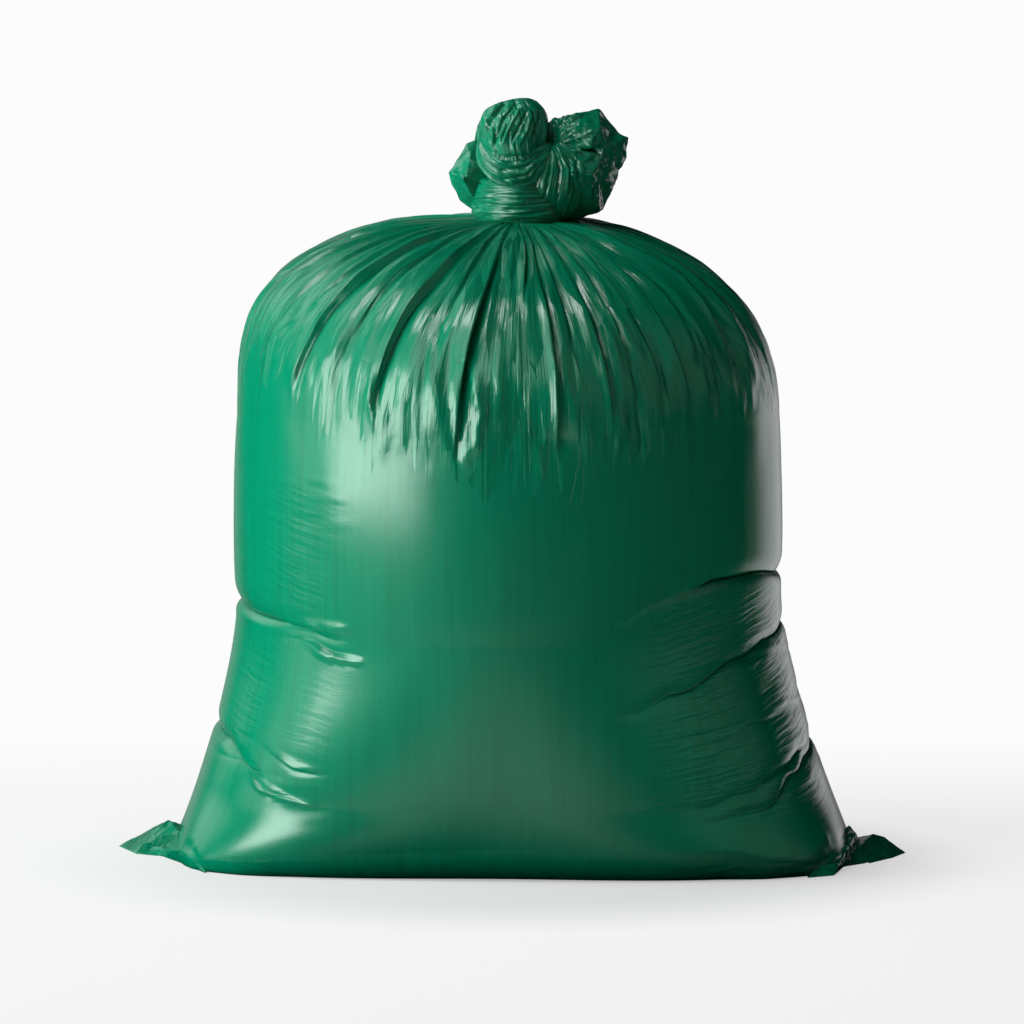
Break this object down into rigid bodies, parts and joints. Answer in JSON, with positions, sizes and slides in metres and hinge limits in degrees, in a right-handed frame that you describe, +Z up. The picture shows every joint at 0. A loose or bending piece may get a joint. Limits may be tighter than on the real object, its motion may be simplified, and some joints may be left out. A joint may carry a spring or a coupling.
{
  "type": "filled refuse sack",
  "caption": "Filled refuse sack of thin film, standing on its base, gathered at the neck and tied shut in a knot of its own film, with a folded corner at each side.",
  "frame": {"origin": "on the floor under the middle of the sack", "axes": "+Z up, the front towards -Y, +X to the right through the two folded corners"},
  "size_m": [0.648, 0.4468, 0.6209],
  "materials": {
    "film": "satin polyethylene film, stretched, with fine streaks along its length"
  },
  "bodies": {
    "root": {"filled_sack": "film"}
  },
  "joints": []
}
